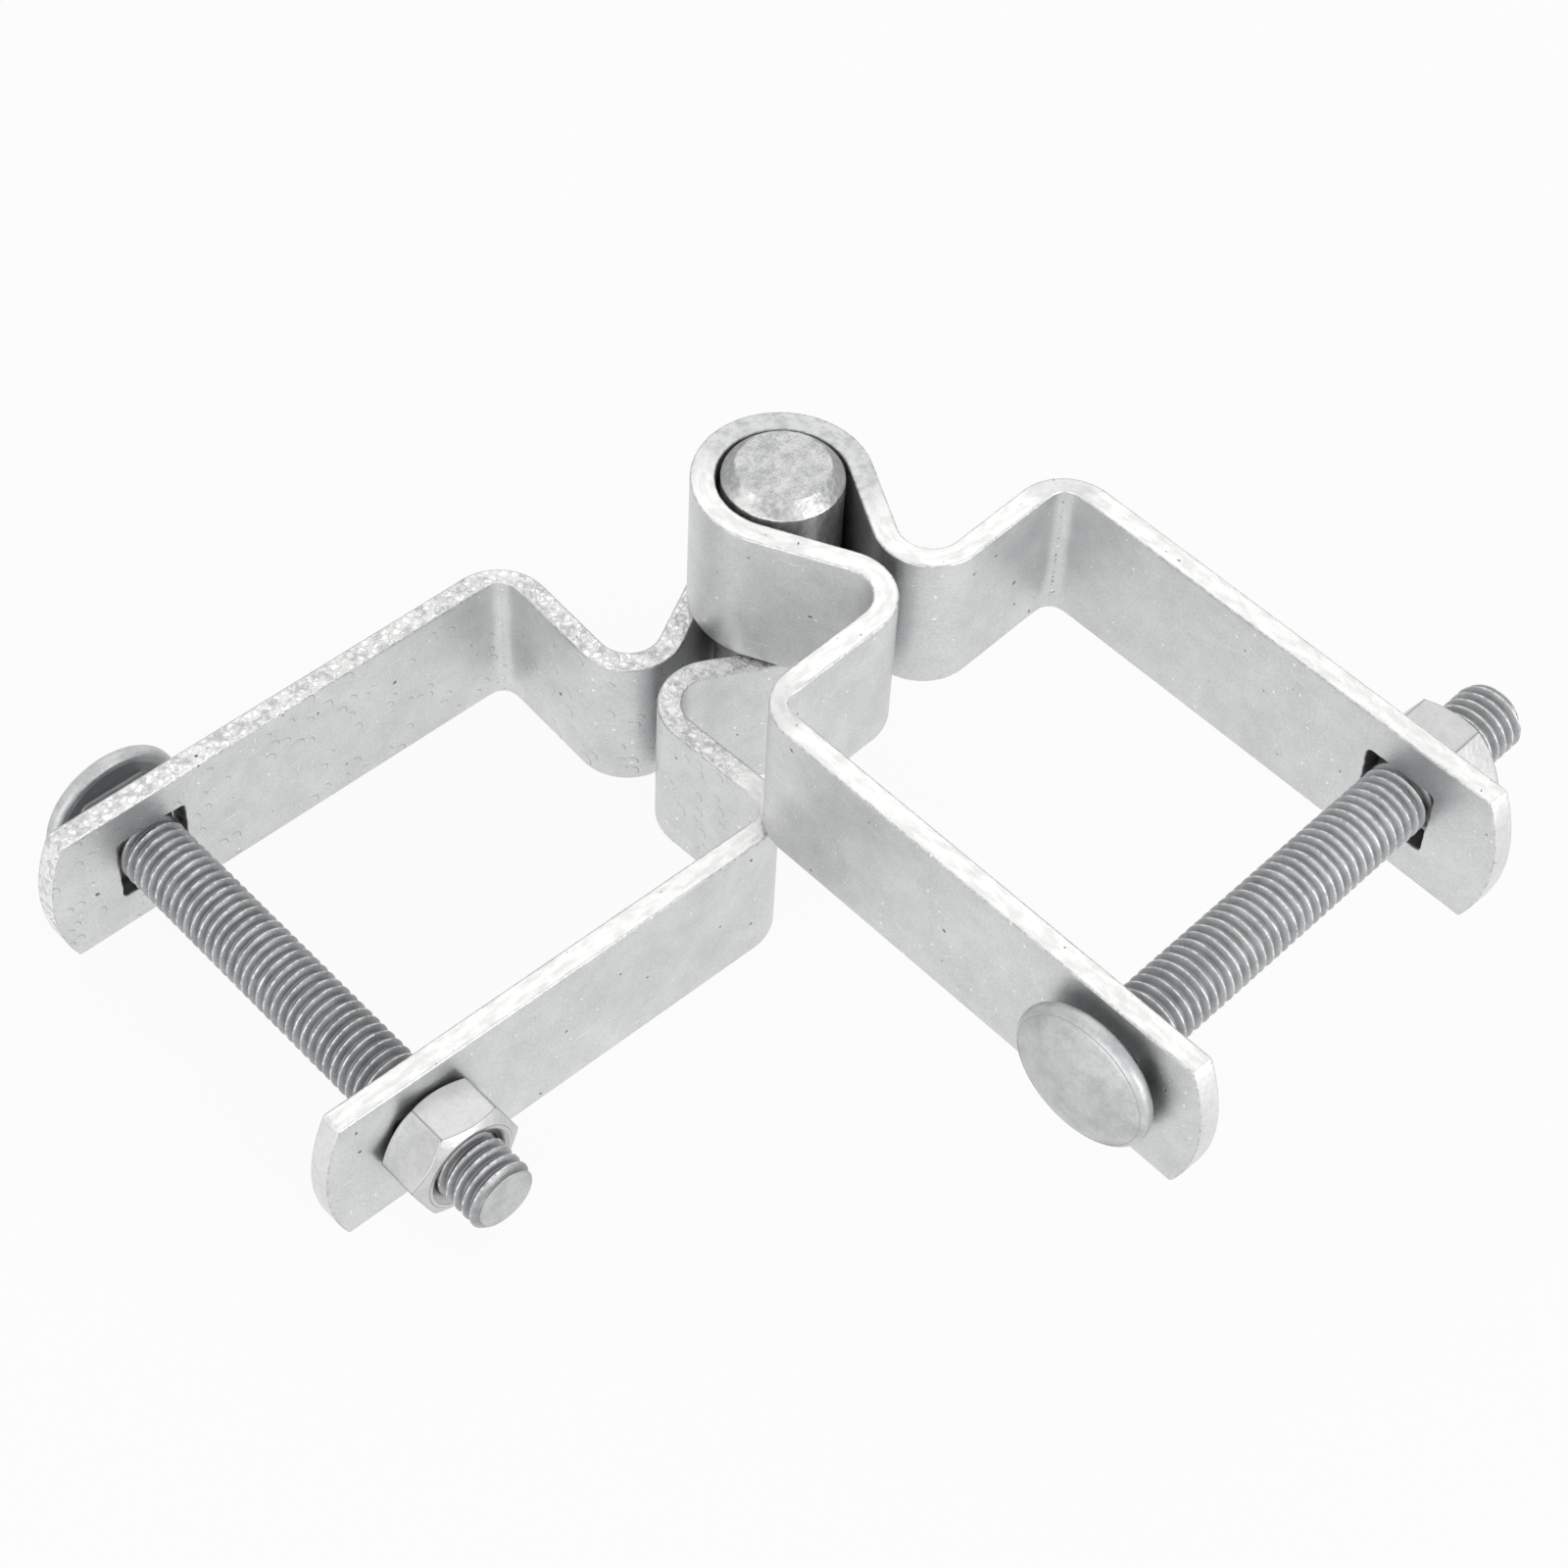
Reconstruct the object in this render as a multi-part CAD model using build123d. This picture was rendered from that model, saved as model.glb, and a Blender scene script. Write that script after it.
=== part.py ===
from build123d import *
import os
from math import asin, atan2, cos, radians, sin, sqrt, tan

# Galvanised strap hinge for square fence posts, in millimetres.
# The origin is on the hinge pin's axis, at the pin's foot, and +Z runs up the pin.
# The post half's clamp opens along +X. The gate half sits on top of it, swung aside.
# Each half has a nut side and a head side, named for the end of the bolt that is there.

# Flat bar that both halves are bent from
strap_width = 22.2
strap_thickness = 3.3
strap_edge_bevel = 0.4    # along the bar's four long edges

# Hinge pin, and how the straps sit on it
pin_diameter = 16.3
pin_play = 0.6            # between the pin and the loop's inside, all round
pin_chamfer_side = 1.9
pin_chamfer_depth = 2.0
pin_proud = 2.3           # of the upper strap's top edge
strap_gap = 0.6           # between the two straps
swing_at_rest = 91.1      # degrees from the post clamp to the gate clamp

# Bends of the bar
square_inside = 52.8      # between the two arms of a clamp
neck_gap = 2.0            # between the two sides where they come closest
neck_inside_radius = 4.4
corner_bend_radius = 4.2  # to where the inside would be at full thickness
corner_crease_radius = 2.2  # of the inside corner, where the bend has thinned the bar

# Shoulders, where the post's face bears: distance from the pin's axis at the neck,
# and degrees that they fall back towards the pin. The gate half was bent a little askew.
post_shoulder = 26.3
post_shoulder_lean = 3.0
gate_nut_shoulder = 26.0
gate_nut_shoulder_lean = 3.0
gate_head_shoulder = 26.9
gate_head_shoulder_lean = -2.5

# Arms: reach is from the pin's axis to the arm's tip
post_arm_reach = 99.5
gate_nut_arm_reach = 98.9
gate_head_arm_reach = 101.5
arm_tip_rise = 2.7        # height of the arc that ends each arm
hole_from_tip = 15.7
hole_side = 10.5
hole_corner_radius = 0.8

# Carriage bolts, threaded over the whole shank
thread_diameter = 9.7
bolt_length = 78.4        # under the head
bolt_end_chamfer = 0.5
bolt_neck_play = 0.35     # between the square neck and the hole, each side
bolt_neck_length = 5.6
head_diameter = 20.2
head_rim_height = 2.3
head_rim_inset = 0.7      # of the rim's two edges inside its widest part, its middle third
head_dome_height = 2.4
post_head_stand_off = 4.6  # from the arm to the underside of the head
gate_head_stand_off = 1.7

# Hexagon nuts
nut_across_flats = 14.6
nut_height = 8.0
nut_chamfer_angle = 30.0
nut_face_share = 0.95     # of the flats, for the round face left by the chamfer
nut_thread_play = 0.1     # between the nut's bore and the bolt's crests, all round
nut_countersink = 1.0     # width of the bevel at the mouth of the bore
nut_seat_gap = 0.05       # between the nut's nearest point and the arm
post_nut_turn = 6.3       # degrees of a corner above the arm's own direction
gate_nut_turn = 4.7

# Worked out from the sizes above
loop_inside_radius = pin_diameter / 2 + pin_play
post_side = (post_arm_reach, post_shoulder, post_shoulder_lean)
gate_nut_side = (gate_nut_arm_reach, gate_nut_shoulder, gate_nut_shoulder_lean)
gate_head_side = (gate_head_arm_reach, gate_head_shoulder, gate_head_shoulder_lean)
arm_middle = square_inside / 2 + strap_thickness / 2
arm_outside = square_inside / 2 + strap_thickness
gate_level = strap_width + strap_gap
pin_length = gate_level + strap_width + pin_proud


def point_on(centre, radius, angle):
    # Point of a circle in plan, with the angle in radians
    return (centre[0] + radius * cos(angle), centre[1] + radius * sin(angle))


def bend(centre, radius, first, last):
    # Round bend of the bar's middle line, between two angles in radians
    middle = (first + last) / 2
    return ThreePointArc(
        point_on(centre, radius, first),
        point_on(centre, radius, middle),
        point_on(centre, radius, last),
    )


def neck_centre(shoulder):
    # Centre of the bend between the loop's flank and the shoulder
    across = neck_gap / 2 + strap_thickness + neck_inside_radius
    return (shoulder - strap_thickness - neck_inside_radius, across)


def corner_centre(shoulder, lean):
    # Centre of the bend between the shoulder and the arm
    neck = neck_centre(shoulder)
    across = square_inside / 2 - corner_bend_radius
    neck_radius = neck_inside_radius + strap_thickness / 2
    corner_radius = corner_bend_radius + strap_thickness / 2
    rise = across - neck[1] - (neck_radius + corner_radius) * sin(lean)
    along = neck[0] + (neck_radius + corner_radius) * cos(lean) - rise * tan(lean)
    return (along, across)


def side_line(side):
    # Middle line of one side of the bar, from behind the pin to the arm's tip:
    # loop, flank, neck, shoulder, corner, arm
    reach, shoulder, shoulder_lean = side
    half = strap_thickness / 2
    loop_radius = loop_inside_radius + half
    neck_radius = neck_inside_radius + half
    quarter = radians(90)
    lean = radians(shoulder_lean)
    neck_middle = neck_centre(shoulder)
    # The flank touches the loop on one side and the neck on the other
    neck_distance = sqrt(neck_middle[0] ** 2 + neck_middle[1] ** 2)
    flank_heading = atan2(neck_middle[1], neck_middle[0]) - asin((loop_radius + neck_radius) / neck_distance)
    loop = bend((0, 0), loop_radius, radians(180), flank_heading + quarter)
    neck = bend(neck_middle, neck_radius, flank_heading - quarter, lean)
    corner_middle = corner_centre(shoulder, lean)
    corner = bend(corner_middle, corner_bend_radius + half, radians(180) + lean, quarter)
    flank = Line(loop @ 1, neck @ 0)
    ramp = Line(neck @ 1, corner @ 0)
    arm = Line(corner @ 1, (reach, arm_middle))
    return [loop, flank, neck, ramp, corner, arm]


def corner_crease(side, mirrored):
    # What the bend thins off the inside of a corner, down to a smaller radius
    shoulder, lean = side[1], radians(side[2])
    middle = corner_centre(shoulder, lean)
    on_arm = point_on(middle, corner_bend_radius, radians(90))
    on_shoulder = point_on(middle, corner_bend_radius, radians(180) + lean)
    turn = (radians(90) - lean) / 2
    apex = point_on(middle, corner_bend_radius / cos(turn), radians(90) + turn)
    kite = make_face(Polyline(middle, on_arm, apex, on_shoulder, close=True))
    tip = kite.vertices().sort_by_distance(apex)[0]
    kite = fillet(tip, corner_crease_radius)
    crease = extrude(kite - Pos(*middle) * Circle(corner_bend_radius), strap_width)
    return crease.mirror(Plane.XZ) if mirrored else crease


def tip_scrap(reach, side):
    # What is sheared off one arm to leave its arched tip
    radius = ((strap_width / 2) ** 2 + arm_tip_rise**2) / (2 * arm_tip_rise)
    depth = 2 * strap_thickness
    block = Pos(reach, side * arm_middle, strap_width / 2) * Box(
        2 * arm_tip_rise, depth, 2 * strap_width
    )
    arch = Pos(reach - radius, side * arm_middle, strap_width / 2) * (
        Rot(90, 0, 0) * Cylinder(radius, depth)
    )
    return block - arch


def bolt_hole(reach, side):
    # Square hole through one arm
    punch = extrude(RectangleRounded(hole_side, hole_side, hole_corner_radius), strap_thickness, both=True)
    return Pos(reach - hole_from_tip, side * arm_middle, strap_width / 2) * (Rot(90, 0, 0) * punch)


def strap(nut_side, head_side):
    # One half of the hinge: the flat bar bent on its width round the pin
    nut_line = side_line(nut_side)
    head_line = [edge.mirror(Plane.XZ) for edge in side_line(head_side)]
    bar = extrude(trace(nut_line + head_line, strap_thickness), strap_width)
    bar = bar - corner_crease(nut_side, False) - corner_crease(head_side, True)
    flat_ends = bar.edges().filter_by(Axis.Z, reverse=True)
    bar = chamfer(flat_ends, strap_edge_bevel)
    for reach, side in ((nut_side[0], 1), (head_side[0], -1)):
        bar = bar - tip_scrap(reach, side) - bolt_hole(reach, side)
    return bar


def hinge_pin():
    # Plain round pin with a bevelled top
    radius = pin_diameter / 2
    outline = Polyline(
        (0, 0),
        (radius, 0),
        (radius, pin_length - pin_chamfer_depth),
        (radius - pin_chamfer_side, pin_length),
        (0, pin_length),
        close=True,
    )
    return revolve(Plane.XZ * make_face(outline), Axis.Z)


def carriage_bolt():
    # Low domed head below the origin, square neck and threaded shank along +Z
    rim = head_diameter / 2
    edge = rim - head_rim_inset
    dome_foot = -head_rim_height
    dome_top = dome_foot - head_dome_height
    dome_radius = (edge**2 + head_dome_height**2) / (2 * head_dome_height)
    half_way = asin(edge / dome_radius) / 2
    dome_middle = (dome_radius * sin(half_way), dome_top + dome_radius * (1 - cos(half_way)))
    outline = [
        Polyline(
            (0, dome_top),
            (0, 0),
            (edge, 0),
            (rim, dome_foot / 3),
            (rim, dome_foot * 2 / 3),
            (edge, dome_foot),
        ),
        ThreePointArc((edge, dome_foot), dome_middle, (0, dome_top)),
    ]
    head = revolve(Plane.XZ * make_face(outline), Axis.Z)
    on_foot = (Align.CENTER, Align.CENTER, Align.MIN)
    neck_side = hole_side - 2 * bolt_neck_play
    neck = Box(neck_side, neck_side, bolt_neck_length, align=on_foot)
    neck = chamfer(neck.edges().filter_by(Axis.Z), min(hole_corner_radius, neck_side / 4))
    shank = Cylinder(thread_diameter / 2, bolt_length, align=on_foot)
    shank = chamfer(shank.edges().sort_by(Axis.Z)[-1], bolt_end_chamfer)
    return head + neck + shank


def hexagon_nut():
    # Nut on its face at the origin, with both faces bevelled and a countersunk bore
    corner = nut_across_flats / sqrt(3)
    face = nut_across_flats * nut_face_share / 2
    bevel = (corner - face) * tan(radians(nut_chamfer_angle))
    bore = thread_diameter / 2 + nut_thread_play
    section = Polyline(
        (bore, nut_countersink),
        (bore + nut_countersink, 0),
        (face, 0),
        (corner, bevel),
        (corner, nut_height - bevel),
        (face, nut_height),
        (bore + nut_countersink, nut_height),
        (bore, nut_height - nut_countersink),
        close=True,
    )
    turned = revolve(Plane.XZ * make_face(section), Axis.Z)
    return extrude(RegularPolygon(corner, 6), nut_height) & turned


class Clamp:
    # Where one half stands, and the line that its bolt takes through the two holes
    def __init__(self, nut_side, head_side, level, swing):
        self.place = Location((0, 0, level), (0, 0, swing))
        self.nut_side = nut_side
        self.head_side = head_side
        middle = strap_width / 2
        nut_hole = Vector(nut_side[0] - hole_from_tip, arm_middle, middle)
        head_hole = Vector(head_side[0] - hole_from_tip, -arm_middle, middle)
        self.line = (nut_hole - head_hole).normalized()
        self.head_hole = head_hole
        self.slant = abs(self.line.X / self.line.Y)

    def on_line(self, across, further):
        # Frame on the bolt's line where it is so far across the clamp, and then further on
        start = self.head_hole + self.line * ((across + arm_middle) / self.line.Y + further)
        return Plane(origin=start, x_dir=(0, 0, 1), z_dir=self.line)

    def strap(self):
        return self.place * strap(self.nut_side, self.head_side)

    def bolt(self, stand_off):
        return self.place * (self.on_line(-arm_outside, -stand_off) * carriage_bolt())

    def nut(self, turn):
        # On a slanting bolt only one edge of the nut's face meets the arm
        tilt_gap = nut_across_flats * nut_face_share / 2 * self.slant
        seat = self.on_line(arm_outside, tilt_gap + nut_seat_gap)
        return self.place * (seat * (Rot(0, 0, 90 - turn) * hexagon_nut()))


def main():
    post_clamp = Clamp(post_side, post_side, 0, 0)
    gate_clamp = Clamp(gate_nut_side, gate_head_side, gate_level, swing_at_rest)
    pieces = {
        "lower_strap": post_clamp.strap(),
        "upper_strap": gate_clamp.strap(),
        "hinge_pin": hinge_pin(),
        "lower_bolt": post_clamp.bolt(post_head_stand_off),
        "upper_bolt": gate_clamp.bolt(gate_head_stand_off),
        "lower_nut": post_clamp.nut(post_nut_turn),
        "upper_nut": gate_clamp.nut(gate_nut_turn),
    }
    os.makedirs("parts", exist_ok=True)
    for name, piece in pieces.items():
        export_step(piece, f"parts/{name}.step")


main()
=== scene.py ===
from functools import partial
from math import asin, atan2, ceil, cos, degrees, exp, hypot, pi, radians, sin, sqrt, tan

import bmesh
import bpy
from mathutils import Matrix, Vector, noise


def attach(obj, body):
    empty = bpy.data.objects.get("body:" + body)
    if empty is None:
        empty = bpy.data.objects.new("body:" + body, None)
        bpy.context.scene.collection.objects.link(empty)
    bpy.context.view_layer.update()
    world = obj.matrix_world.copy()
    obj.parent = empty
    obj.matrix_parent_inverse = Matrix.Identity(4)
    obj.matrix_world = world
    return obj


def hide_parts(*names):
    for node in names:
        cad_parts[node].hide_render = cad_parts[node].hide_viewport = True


# Galvanised strap hinge for square fence posts. Sizes are in millimetres until a piece is placed.
# Straps, bolts, pin and nuts are remade here finer than the frame's solids, each over its own node.
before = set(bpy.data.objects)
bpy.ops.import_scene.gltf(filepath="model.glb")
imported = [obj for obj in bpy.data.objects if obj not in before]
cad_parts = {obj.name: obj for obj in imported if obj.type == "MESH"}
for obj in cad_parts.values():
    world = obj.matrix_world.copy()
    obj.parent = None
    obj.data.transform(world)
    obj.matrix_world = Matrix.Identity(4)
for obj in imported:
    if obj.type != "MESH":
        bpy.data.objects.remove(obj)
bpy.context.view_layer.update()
mm = 0.001
noise.seed_set(1)      # the wander of the punched holes' edges is the same in every run


# Small helpers

def toLinear(hexColour):
    # sRGB hex to the linear colour that a shader wants
    parts = [int(hexColour[i:i + 2], 16) / 255 for i in (1, 3, 5)]
    linear = [p / 12.92 if p <= 0.04045 else ((p + 0.055) / 1.055) ** 2.4 for p in parts]
    return (*linear, 1.0)


def addNode(tree, kind, links=(), **settings):
    # One node with its settings. A shader node's kind goes without its prefix. The links are its inputs, in
    # order or by name, and each takes a value, a hex colour, a socket, or a node for its first output.
    node = tree.nodes.new(kind if "Node" in kind else "ShaderNode" + kind)
    for name, value in settings.items():
        setattr(node, name, value)
    for key, value in links.items() if isinstance(links, dict) else enumerate(links):
        if isinstance(value, str) and value.startswith("#"):
            value = toLinear(value)
        if isinstance(value, bpy.types.Node):
            value = next(socket for socket in value.outputs if socket.enabled)
        if isinstance(value, bpy.types.NodeSocket):
            tree.links.new(value, node.inputs[key])
        else:
            node.inputs[key].default_value = value
    return node


def addObject(name, data):
    made = bpy.data.objects.new(name, data)
    bpy.context.scene.collection.objects.link(made)
    return made


def plainMesh(name, carrier):
    # The mesh that an object's modifiers make of its own; the object goes
    bpy.context.view_layer.update()
    made = bpy.data.meshes.new_from_object(carrier.evaluated_get(bpy.context.evaluated_depsgraph_get()))
    made.name = name
    carrier.modifiers.clear()
    bpy.data.objects.remove(carrier)
    return made


def arcPoints(centre, radius, first, last, step):
    # Points along an arc in plan, angles in radians, without its last point
    count = max(2, ceil(abs(last - first) * radius / step))
    turn = (last - first) / count
    return [(centre[0] + radius * cos(first + turn * i), centre[1] + radius * sin(first + turn * i))
            for i in range(count)]


def linePoints(start, end, step):
    # Points along a straight run, without its last point
    count = max(2, ceil(hypot(end[0] - start[0], end[1] - start[1]) / step))
    return [(start[0] + (end[0] - start[0]) * i / count, start[1] + (end[1] - start[1]) * i / count)
            for i in range(count)]


def meshFrom(name, points, faces):
    mesh = bpy.data.meshes.new(name)
    mesh.from_pydata(points, [], faces)
    mesh.update()
    return mesh


def lathe(name, profileAt, segments, ring=False):
    # Turns a profile of (radius, height, arris, painted shading) about Z. The profile may change with the
    # angle, and its last two numbers are kept on the points; the last says where light or shade is painted.
    # A plain one starts and ends on the axis; a ring's profile is a closed loop.
    profiles = [profileAt(2 * pi * k / segments) for k in range(segments)]
    rows = len(profiles[0])
    points, index = [], {}
    marks = {"arris": [], "paintedShading": []}
    for i in range(rows):
        for k in range(segments):
            radius, height, arris, paintedShading = profiles[k][i]
            pole = not ring and i in (0, rows - 1)
            if pole and k:
                index[i, k] = index[i, 0]
                continue
            angle = 2 * pi * k / segments
            index[i, k] = len(points)
            points.append((radius * cos(angle), radius * sin(angle), height))
            marks["arris"].append(arris)
            marks["paintedShading"].append(paintedShading)
    faces = []
    for i in range(rows if ring else rows - 1):
        for k in range(segments):
            below, above = (i, i + 1) if i + 1 < rows else (i, 0)
            after = (k + 1) % segments
            corners = [index[below, k], index[below, after], index[above, after], index[above, k]]
            corners = [c for n, c in enumerate(corners) if c != corners[n - 1]]
            if len(corners) > 2:
                faces.append(corners)
    mesh = meshFrom(name, points, faces)
    work = bmesh.new()
    work.from_mesh(mesh)
    bmesh.ops.recalc_face_normals(work, faces=work.faces)
    work.to_mesh(mesh)
    work.free()
    for attribute, values in marks.items():
        mesh.attributes.new(attribute, "FLOAT", "POINT").data.foreach_set("value", values)
    return mesh


def rounded(corners):
    # Points along (radius, height, rounding, divisions of the run that follows) corners
    spots = []
    for n, (x, y, bendRadius, divisions) in enumerate(corners):
        here = Vector((x, y))
        if n in (0, len(corners) - 1) or bendRadius == 0:
            spots.append([here])
            continue
        back = (Vector(corners[n - 1][:2]) - here).normalized()
        ahead = (Vector(corners[n + 1][:2]) - here).normalized()
        half = back.angle(ahead) / 2
        cut = bendRadius / tan(half)
        centre = here + (back + ahead).normalized() * (bendRadius / sin(half))
        first, last = here + back * cut, here + ahead * cut
        aims = [first.lerp(last, i / 4) - centre for i in range(5)]
        spots.append([centre + aim.normalized() * bendRadius for aim in aims])
    points = []
    for n, group in enumerate(spots):
        if n:
            start, end, divisions = spots[n - 1][-1], group[0], corners[n - 1][3]
            points += [start.lerp(end, i / divisions) for i in range(1, divisions)]
        points += group
    return [(p.x, p.y, 0, 0) for p in points]


# Geometry Nodes trees, in millimetres

def newTree(name, inputs):
    # A geometry tree with its own named inputs; gives the tree, what adds its nodes, and the inputs
    tree = bpy.data.node_groups.new(name, "GeometryNodeTree")
    tree.is_modifier = True
    tree.interface.new_socket("Geometry", in_out="OUTPUT", socket_type="NodeSocketGeometry")
    for socketName, kind in {"Geometry": "Geometry", **inputs}.items():
        tree.interface.new_socket(socketName, in_out="INPUT", socket_type="NodeSocket" + kind)
    add = partial(addNode, tree)
    return tree, add, add("NodeGroupInput").outputs


def wornSurface(add, geometry, depth, given):
    # Eats a little into the surface, so that nothing grows past the true size, then finishes the mesh
    place = add("GeometryNodeInputPosition")
    lumps = add("TexNoise", {"Vector": place, "W": given["Seed"], "Scale": given["Grain"],
                             "Detail": 3.0, "Roughness": 0.6}, noise_dimensions="4D")
    inward = add("Math", (lumps, depth), operation="MULTIPLY")
    back = add("Math", (inward, -1.0), operation="MULTIPLY")
    normal = add("GeometryNodeInputNormal")
    shift = add("VectorMath", {0: normal, "Scale": back}, operation="SCALE")
    worn = add("GeometryNodeSetPosition", {"Geometry": geometry, "Offset": shift})
    smooth = add("GeometryNodeSetShadeSmooth", {"Geometry": worn})
    real = add("GeometryNodeRealizeInstances", (smooth,))
    coated = add("GeometryNodeSetMaterial", {"Geometry": real, "Material": given["Finish"]})
    add("NodeGroupOutput", (coated,))


def bendBarTree():
    # Bends a flat blank along a path: its X runs along the path, Y through the bar, Z up
    tree, add, given = newTree("bendBar", {
        "Path": "Object", "Face wear": "Float", "Edge wear": "Float", "Grain": "Float",
        "Cloud size": "Float", "Seed": "Float", "Finish": "Material"})
    path = add("GeometryNodeObjectInfo", {"Object": given["Path"]})
    blank = add("GeometryNodeInputNamedAttribute", {"Name": "blankPoint"}, data_type="FLOAT_VECTOR")
    sheared = add("GeometryNodeInputNamedAttribute", {"Name": "sheared"}, data_type="FLOAT")
    # slow changes of tone are kept on the points, where they cost the render nothing
    cloudScale = add("Math", (1.0, given["Cloud size"]), operation="DIVIDE")
    cloud = add("TexNoise", {"Vector": blank, "Scale": cloudScale, "Detail": 4.0, "Roughness": 0.62})
    drawn = add("VectorMath", (blank, (0.45, 0.45, 0.45)), operation="MULTIPLY")
    streak = add("TexNoise", {"Vector": drawn, "Scale": 1.0, "Detail": 3.0, "Roughness": 0.6})
    toned = given["Geometry"]
    for name, value in (("cloud", cloud), ("streak", streak)):
        toned = add("GeometryNodeStoreNamedAttribute", {"Geometry": toned, "Name": name, "Value": value},
                    data_type="FLOAT", domain="POINT")
    flat = add("SeparateXYZ", (add("GeometryNodeInputPosition"),)).outputs
    spot = add("GeometryNodeSampleCurve", {"Curves": path.outputs["Geometry"], "Length": flat["X"]},
               mode="LENGTH", use_all_curves=True).outputs
    across = add("VectorMath", ((0.0, 0.0, 1.0), spot["Tangent"]), operation="CROSS_PRODUCT")
    through = add("VectorMath", {0: across, "Scale": flat["Y"]}, operation="SCALE")
    level = add("CombineXYZ", {"Z": flat["Z"]})
    lifted = add("VectorMath", (spot["Position"], level), operation="ADD")
    target = add("VectorMath", (lifted, through), operation="ADD")
    bent = add("GeometryNodeSetPosition", {"Geometry": toned, "Position": target})
    depth = add("Mix", {0: sheared, 2: given["Face wear"], 3: given["Edge wear"]}, data_type="FLOAT")
    wornSurface(add, bent, depth, given)
    return tree


def cutThreadTree():
    # Cuts a right-hand thread into what lies within Outer of the Z axis, and marks crests and grooves
    numbers = ("Pitch", "Start", "End", "Run-out", "Depth", "Phase", "Outer", "Wear", "Grain", "Seed")
    tree, add, given = newTree("cutThread", {**dict.fromkeys(numbers, "Float"), "Finish": "Material"})
    place = add("GeometryNodeInputPosition")
    at = add("SeparateXYZ", (place,)).outputs
    flat = add("VectorMath", (place, (1.0, 1.0, 0.0)), operation="MULTIPLY")
    radius = add("VectorMath", (flat,), operation="LENGTH").outputs["Value"]
    angle = add("Math", (at["Y"], at["X"]), operation="ARCTAN2")
    turns = add("Math", (angle, 2 * pi), operation="DIVIDE")
    along = add("Math", (at["Z"], given["Pitch"]), operation="DIVIDE")
    along = add("Math", (along, given["Phase"]), operation="ADD")
    helix = add("Math", (along, turns), operation="SUBTRACT")
    # 0 in the middle of the groove, 0.5 on the crest
    ridge = add("Math", (helix, 0.5), operation="PINGPONG")
    groove = add("MapRange", (ridge, 0.06, 0.42, 1.0, 0.0))
    fromStart = add("Math", (at["Z"], given["Start"]), operation="SUBTRACT")
    fromEnd = add("Math", (given["End"], at["Z"]), operation="SUBTRACT")
    nearest = add("Math", (fromStart, fromEnd), operation="MINIMUM")
    fade = add("MapRange", (nearest, 0.0, given["Run-out"]), interpolation_type="SMOOTHSTEP")
    edge = add("Math", (given["Outer"], 0.01), operation="ADD")
    inside = add("Math", (radius, edge), operation="LESS_THAN")
    cut = add("Math", (groove, fade), operation="MULTIPLY")
    cut = add("Math", (cut, inside), operation="MULTIPLY")
    deep = add("Math", (cut, given["Depth"]), operation="MULTIPLY")
    left = add("Math", (given["Outer"], deep), operation="SUBTRACT")
    # a point outside the thread's own surface moves onto it, one within it stays
    excess = add("Math", (radius, left), operation="SUBTRACT")
    excess = add("Math", (excess, 0.0), operation="MAXIMUM")
    excess = add("Math", (excess, inside), operation="MULTIPLY")
    outward = add("VectorMath", (flat,), operation="NORMALIZE")
    inward = add("Math", (excess, -1.0), operation="MULTIPLY")
    shift = add("VectorMath", {0: outward, "Scale": inward}, operation="SCALE")
    share = add("Math", (excess, given["Depth"]), operation="DIVIDE")
    crest = add("Math", (fade, groove), operation="SUBTRACT")
    below = add("Math", (left, 0.03), operation="SUBTRACT")
    onThread = add("Math", (radius, below), operation="GREATER_THAN")
    crest = add("Math", (crest, onThread), operation="MULTIPLY")
    crest = add("Math", (crest, inside), operation="MULTIPLY", use_clamp=True)
    thread = add("Math", (fade, onThread), operation="MULTIPLY")
    thread = add("Math", (thread, inside), operation="MULTIPLY")
    marked = given["Geometry"]
    for name, value in (("groove", share), ("crest", crest), ("thread", thread)):
        marked = add("GeometryNodeStoreNamedAttribute", {"Geometry": marked, "Name": name, "Value": value},
                     data_type="FLOAT", domain="POINT")
    threaded = add("GeometryNodeSetPosition", {"Geometry": marked, "Offset": shift})
    wornSurface(add, threaded, given["Wear"], given)
    return tree


def runTree(name, mesh, tree, values):
    # Gives the plain mesh that a tree makes of another, with the tree's inputs by their names
    carrier = addObject(name + "Work", mesh)
    modifier = carrier.modifiers.new("shape", "NODES")
    modifier.node_group = tree
    for item in tree.interface.items_tree:
        if item.item_type == "SOCKET" and item.in_out == "INPUT" and item.name in values:
            modifier[item.identifier] = values[item.name]
    return plainMesh(name, carrier)


# Materials

def emptied(owner):
    # Clears the tree of a material or a world and gives what adds its nodes
    owner.use_nodes = True
    owner.node_tree.nodes.clear()
    return partial(addNode, owner.node_tree)


def flecks(add, where, marks, dimensions="2D"):
    # Scattered marks: a cell of the given size in mm holds one if its own number is under the share
    size, share, spread, ragged = marks
    bent = add("TexNoise", {"Vector": where, "Scale": 2.2 / size, "Detail": 1.0})
    wobble = add("VectorMath", (bent.outputs["Color"], [ragged] * 3, where), operation="MULTIPLY_ADD")
    cells = add("TexVoronoi", {"Vector": wobble, "Scale": 1.0 / size}, voronoi_dimensions=dimensions).outputs
    number = add("SeparateColor", (cells["Color"],)).outputs
    here = add("Math", (number[0], share), operation="LESS_THAN")
    reach = add("Math", (number[1], spread), operation="MULTIPLY")
    inside = add("Math", (reach, cells["Distance"]), operation="SUBTRACT")
    mark = add("MapRange", (inside, 0.0, 0.02))
    return add("Math", (mark, here), operation="MULTIPLY")


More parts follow.
